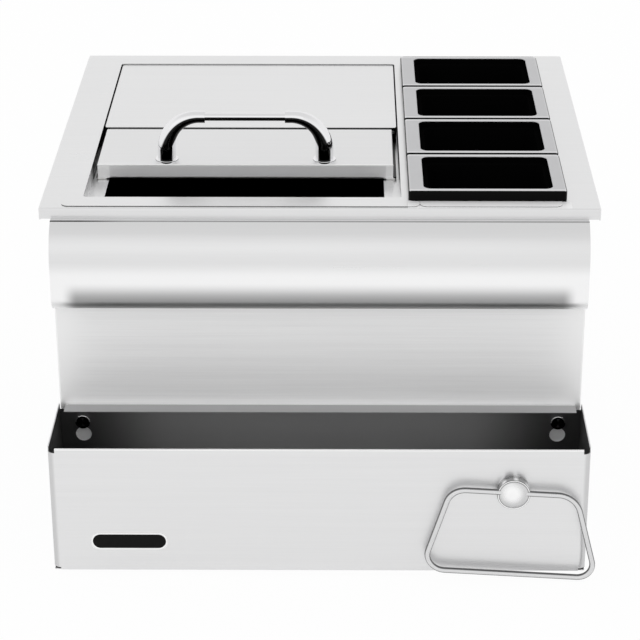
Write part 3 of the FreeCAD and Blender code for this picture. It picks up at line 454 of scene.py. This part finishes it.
# Condiment bins: four pans of glossy black plastic that hang by their skirts on the deck.
# Their flat tops are painted a faintly scuffed satin grey as a painted reflection, with a painted
# highlight along the edges, and their insides are matt black without gloss as painted shade.
BIN_ROLL = 0.002
SKIRT_HEIGHT = 0.0115
SKIN_SCALE = 900.0
SCUFF_SCALES = (60.0, 60.0, 60.0)
TOP_SKIN = 0.0006
TOP_REACH = 0.0008
HIGHLIGHT_ALONG = (-0.007, -0.0045)
HIGHLIGHT_ROUND = (-0.0016, -0.0002)
BIN_TOP_REFLECTION_GREY = (0.53, 0.53, 0.54, 1)
BIN_EDGE_HIGHLIGHT_GREY = (0.8, 0.8, 0.81, 1)
BIN_BLACK = (0.002, 0.002, 0.002, 1)


def bin_plastic(number):
    """Painted reflection grey on the flat top, with painted edge highlights, glossy black on the
    skirt, and matt black without gloss inside the pan as painted shade.
    """
    low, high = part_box(f"condiment_bin_{number}")
    finish = Finish(f"black_gloss_plastic_{number}")
    place = finish.place()
    x, y, z = finish.split(place)
    skirt = z > high.z - SKIRT_HEIGHT
    over_x = abs(x - (low.x + high.x) / 2) - ((high.x - low.x) / 2 - BIN_ROLL)
    over_y = abs(y - (low.y + high.y) / 2) - ((high.y - low.y) / 2 - BIN_ROLL)
    outward = over_x.at_least(over_y)
    flat = (z > high.z - TOP_SKIN) * (outward < TOP_REACH) * (over_y < -TOP_SKIN)
    outside = (outward > -BIN_ROLL / 2) * skirt
    scuffs = finish.noise(finish.stretched(place, SCUFF_SCALES), detail=5.0)
    # Painted highlight along the rolled edges of the top.
    edge_highlight = finish.rise(over_y, *HIGHLIGHT_ALONG) + finish.rise(outward, *HIGHLIGHT_ROUND) * 0.4
    grey = finish.mixed(scuffs, shade(BIN_TOP_REFLECTION_GREY, 0.93), shade(BIN_TOP_REFLECTION_GREY, 1.07))
    skin = finish.relief(finish.noise(place, scale=SKIN_SCALE), 0.00002)
    satin = finish.shader(Base_Color=finish.mixed(edge_highlight * 0.5, grey, BIN_EDGE_HIGHLIGHT_GREY),
                          Roughness=finish.between(scuffs, 0.3, 0.42), Normal=skin)
    gloss = finish.shader(Base_Color=BIN_BLACK, Roughness=finish.between(scuffs, 0.12, 0.2),
                          Normal=skin, Specular_IOR_Level=0.05)
    matt = finish.shader(Base_Color=BIN_BLACK, Roughness=0.7, Specular_IOR_Level=0.0)
    return finish.finished(finish.shader_mix(flat, finish.shader_mix(outside, matt, gloss), satin))


for number in range(1, 5):
    dress(f"condiment_bin_{number}", bin_plastic(number))

# Bullnose and apron: rolled and folded stainless sheet in front of the counter's edge. The roll
# tucks in under the rim with a painted shadow line, its lower belly has a painted band of light,
# its foot is painted dark as shade, and the apron is the duller, coarser brushed sheet, painted
# lighter towards its ends. Galvanised brackets hold the roll's flange up to the deck.
LIP_DEPTH = 0.0047
SHADOW_DEPTH = 0.0070
LINE_FADE = (-0.27, -0.2)
BELLY_RISE = (0.035, 0.055)
HEEL_RISE = (0.060, 0.082)
HEEL_ENDS = (0.266, 0.284)
HEEL_SHARE = 0.79
APRON_ENDS = (0.25, 0.293)
HEEL_SHADE_COLOUR = (0.25, 0.25, 0.252, 1)
SHADOW_LINE_COLOUR = (0.38, 0.38, 0.383, 1)
BELLY_LIGHT_COLOUR = (0.97, 0.97, 0.973, 1)
APRON_COLOUR = (0.95, 0.95, 0.953, 1)
APRON_END_LIGHT_COLOUR = (0.98, 0.98, 0.98, 1)


def nose_shades(finish, x, y, z):
    # Painted shade: the shadow line under the rim and the dark foot; painted light: the belly
    # band.
    line = (y < RIM_FRONT - LIP_DEPTH) * (y > RIM_FRONT - SHADOW_DEPTH)
    line_shade = finish.mixed(finish.rise(x, *LINE_FADE), TUB_SHADE_COLOUR, SHADOW_LINE_COLOUR)
    depth = 0 - z
    middle = 1 - finish.rise(abs(x), *HEEL_ENDS)
    heel = finish.rise(depth, *HEEL_RISE) * middle * HEEL_SHARE
    belly = finish.rise(depth, *BELLY_RISE)
    return [(belly, BELLY_LIGHT_COLOUR, 0), (heel, HEEL_SHADE_COLOUR, 0.15), (line, line_shade, 0)]


def apron_shades(finish, x, y, z):
    # Painted light: the apron is lighter towards its ends.
    return [(finish.rise(abs(x), *APRON_ENDS), APRON_END_LIGHT_COLOUR, 0)]


nose_steel = brushed_steel("brushed_nose_steel", roughness=0.3, streak=0.02, grain_depth=0.000006,
                           stretches=nose_shades)
for name in ("bullnose", "bullnose_cap_left", "bullnose_cap_right"):
    dress(name, nose_steel)
dress("apron_panel", brushed_steel("brushed_apron_steel", APRON_COLOUR, roughness=0.6, streak=0.06,
                                   grain_depth=0.00001, metallic=0.4, stretches=apron_shades))
for name in ("apron_bracket_left", "apron_bracket_middle", "apron_bracket_right"):
    dress(name, zinc_sheet)

# Studs: turned steel heads on the apron, screwed through it. The lathe leaves fine rings on
# them. Their dark faces are a painted reflection with a painted highlight in a bow across them,
# and the upper edge has a painted highlight.
TURNED_FACE_REFLECTION = (0.04, 0.04, 0.04, 1)
RING_PITCH = 0.0004
STUD_FACE_DEPTH = 0.0006
STUD_GLINT_RADIUS = 0.0055
STUD_GLINT_FADE = 0.003
STUD_EDGE = 0.0016


def turned_head(side):
    low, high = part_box("rail_stud_" + side)
    finish = Finish("turned_steel_" + side)
    x, y, z = finish.split(finish.place())
    across = x - (low.x + high.x) / 2
    up = z - (low.z + high.z) / 2
    radius = (across * across + up * up) ** 0.5
    rings = (radius * (math.tau / RING_PITCH)).sine()
    face = y < low.y + STUD_FACE_DEPTH
    # Painted reflection: the face is dark, with a painted highlight in a bow and on the upper
    # edge.
    bow = finish.rise(abs(up) - abs(across) * 1.8, 0.0, STUD_GLINT_FADE)
    glint = bow * (radius < STUD_GLINT_RADIUS)
    crescent = (radius > (high.x - low.x) / 2 - STUD_EDGE) * (up > 0.0)
    front = finish.mixed(glint * 0.6, TURNED_FACE_REFLECTION, CHROME_COLOUR)
    front = finish.mixed(crescent, front, HIGHLIGHT_AND_RIM_WHITE)
    return finish.finished(finish.shader(
        Base_Color=finish.mixed(face, CHROME_COLOUR, front),
        Metallic=1.0,
        Roughness=finish.between(rings, 0.12, 0.22),
        Normal=finish.relief(rings * face, 0.00001),
    ))


for side in ("left", "right"):
    dress("rail_stud_" + side, turned_head(side), softness=0)
    dress("rail_stud_nut_" + side, zinc_plated)

# Speed rail: two folded stainless sheets welded into a bottle trough. Its inside has the rougher
# mill finish and is painted darker as the shade of the bullnose, darkest at its ends. The corner
# bends are painted a little darker as shade, the top edge and the flange's fold have painted
# highlights, and the flange behind the fold is painted shade.
RAIL_LOW, RAIL_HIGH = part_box("rail_front_wrap")
RAIL_SHEET = 0.0012
RAIL_BEND = 0.008
RAIL_EDGE = 0.0014
FLANGE_DEPTH = 0.03
FLANGE_FOLD = 0.003
RAIL_COLOUR = (0.83, 0.83, 0.833, 1)
CORNER_SHADE_COLOUR = (0.66, 0.66, 0.663, 1)
TROUGH_SHADE_COLOUR = (0.55, 0.55, 0.553, 1)
FLANGE_SHADE = (0.5, 0.5, 0.503, 1)


def trough_shades(finish, x, y, z):
    half = (RAIL_HIGH.x - RAIL_LOW.x) / 2
    aside = (abs(x) - (half - RAIL_BEND)).at_least(0.0)
    ahead = ((RAIL_LOW.y + RAIL_BEND) - y).at_least(0.0)
    within = (aside * aside + ahead * ahead) ** 0.5 < RAIL_BEND - RAIL_SHEET * 0.5
    inside = within * (y < RAIL_HIGH.y - RAIL_SHEET * 0.5)
    flange_under = RAIL_HIGH.z - RAIL_SHEET * 0.5
    below = (z < flange_under) * (z > RAIL_LOW.z + RAIL_SHEET * 0.5)
    corner = finish.rise(abs(x), half * 0.55, half * 0.93) * 0.85
    depth = finish.mixed(corner, TROUGH_SHADE_COLOUR, shade(TROUGH_SHADE_COLOUR, 0.1))
    flange = inside * (z > flange_under) * (y > RAIL_HIGH.y - FLANGE_DEPTH)
    shaded_flange = flange * (y < RAIL_HIGH.y - FLANGE_FOLD)
    bends = finish.rise(abs(x), half - RAIL_BEND, half - RAIL_BEND / 2)
    top_edge = (z > RAIL_HIGH.z - RAIL_EDGE) * (y < RAIL_LOW.y + RAIL_SHEET)
    # Painted shade in the bends, the trough and the flange; painted highlights on the top edge and
    # fold.
    return [(bends, CORNER_SHADE_COLOUR, 0), (top_edge, HIGHLIGHT_AND_RIM_WHITE, 0.2, 0.6),
            (inside * below, depth, 0.2), (flange, HIGHLIGHT_AND_RIM_WHITE, 0.2, 0.5),
            (shaded_flange, FLANGE_SHADE, 0, -0.5)]


rail_steel = brushed_steel("brushed_rail_steel", RAIL_COLOUR, roughness=0.36, streak=0.025,
                           stretches=trough_shades)
for name in ("rail_front_wrap", "rail_back_wrap"):
    dress(name, rail_steel)

# Badge plate: a pill-shaped metal plate with a bright edge, filled with black enamel. It is fixed
# flat on the rail's front and is bare of print.
BADGE_LOW, BADGE_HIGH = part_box("badge_plate")
BADGE_RIM = 0.0016
ENAMEL_BLACK = (0.002, 0.002, 0.002, 1)
ENAMEL_FADED = (0.004, 0.004, 0.004, 1)


def enamelled_plate():
    """Black enamel inside a bright rim that follows the pill's outline."""
    finish = Finish("black_enamel")
    place = finish.place()
    x, _, z = finish.split(place)
    radius = (BADGE_HIGH.z - BADGE_LOW.z) / 2
    reach = (BADGE_HIGH.x - BADGE_LOW.x) / 2 - radius
    across = (abs(x - (BADGE_LOW.x + BADGE_HIGH.x) / 2) - reach).at_least(0.0)
    up = z - (BADGE_LOW.z + BADGE_HIGH.z) / 2
    outward = (across * across + up * up) ** 0.5
    rim = outward > radius - BADGE_RIM
    cloud = finish.noise(place, detail=3.0, scale=60.0)
    silver = finish.shader(Base_Color=HIGHLIGHT_AND_RIM_WHITE, Metallic=0.6,
                           Roughness=finish.between(cloud, 0.18, 0.3))
    enamel = finish.shader(Base_Color=finish.mixed(cloud, ENAMEL_BLACK, ENAMEL_FADED),
                           Roughness=finish.between(cloud, 0.3, 0.4), Specular_IOR_Level=0.12)
    return finish.finished(finish.shader_mix(rim, enamel, silver))


dress("badge_plate", enamelled_plate(), softness=0.0002)

# Ring and knob: a satin stainless wire bent into a trapezoid, through the cross bore of a turned
# knob that is screwed on from behind. Their sides that face down, and the wire's sides that face
# sideways, are painted dark, a painted reflection of the shade between them and the rail.
SATIN_COLOUR = (0.77, 0.77, 0.775, 1)
SATIN_SHADE = (0.07, 0.07, 0.071, 1)
DOME_COLOUR = (0.66, 0.66, 0.664, 1)
SIDE_REFLECTION_DARK = (0.35, 0.35, 0.352, 1)
SIDE_REFLECTION_LIGHT = (0.95, 0.95, 0.955, 1)
SIDE_BANDS = 9.0
GLOW_LEFT = 0.002
GLOW_UP = 0.003
GLOW_FADE = (0.005, 0.0155)
GROOVE_START = (0.0152, 0.0162)
BEAD_START = (0.0166, 0.0169)
BEAD_END = (0.0175, 0.0178)
OUTLINE_START = (0.0175, 0.0179)
SWING = next(joint for joint in frame["joints"] if joint["name"] == "ring_swing")
WIRE_RADIUS = 0.0032
RING_TOP_HALF = 0.0685
RING_FOOT_LEFT = -0.1063
RING_FOOT_RIGHT = 0.0888
RING_DROP = 0.1033
TOP_BEND = 0.024
FOOT_BEND = 0.018
BEND_STEPS = 14
WIRE_SIDES = 20
KNOB_RAISED = 0.0005
KNOB_SIDES = 96
KNOB_PROFILE = [(0.0, 0.0), (0.0, 0.0184), (0.0088, 0.0184), (0.0099, 0.0181), (0.0105, 0.0175),
                (0.0104, 0.0169), (0.0099, 0.0165), (0.0106, 0.0158), (0.0121, 0.0132),
                (0.0134, 0.0101), (0.0143, 0.0066), (0.0148, 0.0032), (0.015, 0.0)]


def rounded_corner(before, corner, after, radius):
    """Points of the arc that rounds a corner of a bent wire."""
    before, corner, after = Vector(before), Vector(corner), Vector(after)
    towards_before = (before - corner).normalized()
    towards_after = (after - corner).normalized()
    half_angle = towards_before.angle(towards_after) / 2
    middle = (towards_before + towards_after).normalized()
    centre = corner + middle * (radius / math.sin(half_angle))
    first = corner + towards_before * (radius / math.tan(half_angle)) - centre
    last = corner + towards_after * (radius / math.tan(half_angle)) - centre
    arc = first.angle(last)
    points = []
    for step in range(BEND_STEPS + 1):
        share = step / BEND_STEPS
        points.append(centre + first * (math.sin((1 - share) * arc) / math.sin(arc))
                      + last * (math.sin(share * arc) / math.sin(arc)))
    return points


def solid(name, rows, sides, closed=False):
    """A smooth skin over rows of points; a closed one joins its last row to the first."""
    points = [point for row in rows for point in row]
    faces = []
    for number in range(len(rows) if closed else len(rows) - 1):
        start, end = number * sides, (number + 1) % len(rows) * sides
        for side in range(sides):
            after = (side + 1) % sides
            faces.append((start + side, start + after, end + after, end + side))
    mesh = bpy.data.meshes.new(name)
    mesh.from_pydata(points, [], faces)
    shape = bmesh.new()
    shape.from_mesh(mesh)
    bmesh.ops.remove_doubles(shape, verts=shape.verts, dist=0.000001)
    bmesh.ops.recalc_face_normals(shape, faces=shape.faces)
    shape.to_mesh(mesh)
    shape.free()
    mesh.shade_smooth()
    made = bpy.data.objects.new(name, mesh)
    bpy.context.scene.collection.objects.link(made)
    return made


def turns(sides):
    """The angles of equal steps round a circle."""
    return [math.tau * side / sides for side in range(sides)]


def bent_ring():
    """The wire, closed through the knob's bore, on its hinge."""
    corners = [(-RING_TOP_HALF, 0), (RING_TOP_HALF, 0), (RING_FOOT_RIGHT, -RING_DROP),
               (RING_FOOT_LEFT, -RING_DROP)]
    line = []
    for number, corner in enumerate(corners):
        bend = TOP_BEND if number < 2 else FOOT_BEND
        line += rounded_corner(corners[number - 1], corner, corners[(number + 1) % 4], bend)
    run_x, _, run_z = SWING["axis"]
    right = Vector((-run_x, 0, -run_z))
    up = Vector((-run_z, 0, -run_x))
    hinge = Vector(SWING["pos_m"])
    ahead = Vector((0, -1, 0))
    rows = []
    for number, middle in enumerate(line):
        along = (line[(number + 1) % len(line)] - line[number - 1]).normalized()
        outward = right * -along.y + up * along.x
        centre = hinge + right * middle.x + up * middle.y
        rows.append([centre + (outward * math.cos(turn) + ahead * math.sin(turn)) * WIRE_RADIUS
                     for turn in turns(WIRE_SIDES)])
    return solid("bent_towel_ring", rows, WIRE_SIDES, closed=True)


def turned_knob():
    """A lathed knob with a domed front and a bead round it."""
    low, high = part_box("ring_knob")
    centre = Vector(((low.x + high.x) / 2, high.y, (low.z + high.z) / 2 + KNOB_RAISED))
    rows = [[centre + Vector((radius * math.cos(turn), -reach, radius * math.sin(turn)))
             for turn in turns(KNOB_SIDES)] for reach, radius in KNOB_PROFILE]
    return solid("turned_ring_knob", rows, KNOB_SIDES), centre


wire = bent_ring()
knob, KNOB_CENTRE = turned_knob()


def wire_shades(finish, x, y, z):
    # Painted reflection: dark where the wire faces sideways or down.
    aside = finish.rise(y, -0.85, -0.5) * (1 - finish.rise(y, 0.1, 0.4))
    return [(aside * 0.9, SATIN_SHADE), (finish.rise(0 - z, 0.2, 0.6) * 0.9, SATIN_SHADE)]


def knob_steel():
    """A polished dome with a painted soft highlight, a painted dark groove and outline, a painted
    bright bead, and a side painted in light and dark streaks, with painted shade underneath.
    """
    finish = Finish("turned_knob_steel")
    x, _, z = finish.split(finish.place())
    facing_x, facing_y, facing_z = finish.split(finish.node("TexCoord", "Normal"))
    across = x - KNOB_CENTRE.x
    up = z - KNOB_CENTRE.z
    radius = (across * across + up * up) ** 0.5
    glow_across = across + GLOW_LEFT
    glow_up = up - GLOW_UP
    glow_radius = (glow_across * glow_across + glow_up * glow_up) ** 0.5
    # Painted highlight and shade on the dome, and painted streaks on the side.
    glow = 1 - finish.rise(glow_radius, *GLOW_FADE)
    dome = finish.mixed(glow, DOME_COLOUR, HIGHLIGHT_AND_RIM_WHITE)
    groove = finish.rise(radius, *GROOVE_START) - finish.rise(radius, *BEAD_START)
    dome = finish.mixed(groove * 0.5, dome, SATIN_SHADE)
    bead = finish.rise(radius, *BEAD_START) - finish.rise(radius, *BEAD_END)
    dome = finish.mixed(bead, dome, HIGHLIGHT_AND_RIM_WHITE)
    outline = finish.rise(radius, *OUTLINE_START)
    dome = finish.mixed(outline * 0.8, dome, SATIN_SHADE)
    bands = (facing_x * SIDE_BANDS + 0.6).sine()
    side = finish.mixed(finish.between(bands, -1.0, 1.0) * 0.5 + 0.5, SIDE_REFLECTION_DARK, SIDE_REFLECTION_LIGHT)
    side = finish.mixed(finish.rise(0 - facing_z, -0.3, 0.2), side, SATIN_SHADE)
    return finish.finished(finish.shader(
        Base_Color=finish.mixed(finish.rise(0 - facing_y, 0.35, 0.6), side, dome),
        Metallic=1.0,
        Roughness=finish.between(glow, 0.22, 0.3),
    ))


satin = polished("satin_steel", SATIN_COLOUR, 0.24, wear=0.08, shades=wire_shades)
for piece, node, metal, body in ((wire, "towel_ring", satin, "towel_ring"),
                                 (knob, "ring_knob", knob_steel(), "speed_rail")):
    piece.data.materials.append(metal)
    dress(node, metal, softness=0)
    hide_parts(node)
    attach(piece, body)
dress("ring_knob_screw", zinc_plated, softness=0)

# Studio: a pale floor under the unit, a soft white sky that is a little darker overhead, and a
# large faint lamp at the front left.
FLOOR_DROP = 0.0012
FLOOR_HALF = 6.0
SKY_HIGH = (0.8, 0.8, 0.8, 1)
SKY_LOW = (0.95, 0.95, 0.95, 1)
SKY_CLIMB = (0.45, 0.95)
FLOOR_COLOUR = (0.95, 0.95, 0.95, 1)
FLOOR_SEEN = 0.96
FLOOR_MIRRORED = 0.6
WHITE = (1, 1, 1, 1)
floor_level = cad_box[0].z - FLOOR_DROP
floor_mesh = bpy.data.meshes.new("studio_floor")
floor_mesh.from_pydata(
    [(-FLOOR_HALF, -FLOOR_HALF, floor_level), (FLOOR_HALF, -FLOOR_HALF, floor_level),
     (FLOOR_HALF, FLOOR_HALF, floor_level), (-FLOOR_HALF, FLOOR_HALF, floor_level)],
    [], [(0, 1, 2, 3)])
floor = bpy.data.objects.new("studio_floor", floor_mesh)
bpy.context.scene.collection.objects.link(floor)
floor_finish = Finish("pale_floor")
diffuse = floor_finish.node("BsdfDiffuse", 0, None, {"Color": FLOOR_COLOUR})
glow = floor_finish.node("Emission", 0, None, {"Color": WHITE, "Strength": 1.0})
seen = floor_finish.node("LightPath", "Is Camera Ray")
mirrored = floor_finish.node("LightPath", "Is Glossy Ray")
glow_share = seen * FLOOR_SEEN + mirrored * FLOOR_MIRRORED
floor_mesh.materials.append(
    floor_finish.finished(floor_finish.shader_mix(glow_share, diffuse, glow)))

sky_world = bpy.data.worlds.new("soft_sky")
bpy.context.scene.world = sky_world
sky = Finish("soft_sky", sky_world)
climb = sky.split(sky.node("TexCoord", "Generated"))[2]
tone = sky.mixed(sky.rise(climb, *SKY_CLIMB), SKY_LOW, SKY_HIGH)
tone = sky.mixed(sky.node("LightPath", "Is Camera Ray"), tone, WHITE)
sky.finished(sky.node("Background", 0, None, {"Color": tone, "Strength": 1.0}), "OutputWorld")

LAMP_PLACE = Vector((-0.9, -2.2, 1.6))
LAMP_TARGET = Vector((0, -0.2, -0.1))
LAMP_POWER = 1.5
LAMP_WIDTH = 3.0
LAMP_HEIGHT = 2.0
lamp_data = bpy.data.lights.new("front_lamp", "AREA")
lamp_data.shape = "RECTANGLE"
lamp_data.size, lamp_data.size_y = LAMP_WIDTH, LAMP_HEIGHT
lamp_data.energy = LAMP_POWER
lamp = bpy.data.objects.new("front_lamp", lamp_data)
lamp.location = LAMP_PLACE
lamp.rotation_mode = "QUATERNION"
lamp.rotation_quaternion = (LAMP_TARGET - LAMP_PLACE).to_track_quat("-Z", "Y")
bpy.context.scene.collection.objects.link(lamp)

# Camera: at the photograph's viewing angle, a long lens 25 degrees above the unit.
PIXELS_WIDE = 640
FOCAL_PIXELS = 2231.74
CENTRE_PIXEL = 339.2
SENSOR_WIDTH = 36
CAMERA_PLACE = (0.03269, -2.5263, 0.93498)
CAMERA_DOWN = 0.4366
CAMERA_TURN = 0.005
camera_data = bpy.data.cameras.new("camera")
camera_data.sensor_width = SENSOR_WIDTH
camera_data.lens = FOCAL_PIXELS / PIXELS_WIDE * SENSOR_WIDTH
camera_data.shift_x = (PIXELS_WIDE / 2 - CENTRE_PIXEL) / PIXELS_WIDE
camera = bpy.data.objects.new("camera", camera_data)
camera.location = CAMERA_PLACE
camera.rotation_euler = (math.pi / 2 - CAMERA_DOWN, 0, CAMERA_TURN)
bpy.context.scene.collection.objects.link(camera)
bpy.context.scene.camera = camera

bpy.context.scene.view_settings.view_transform = "Standard"
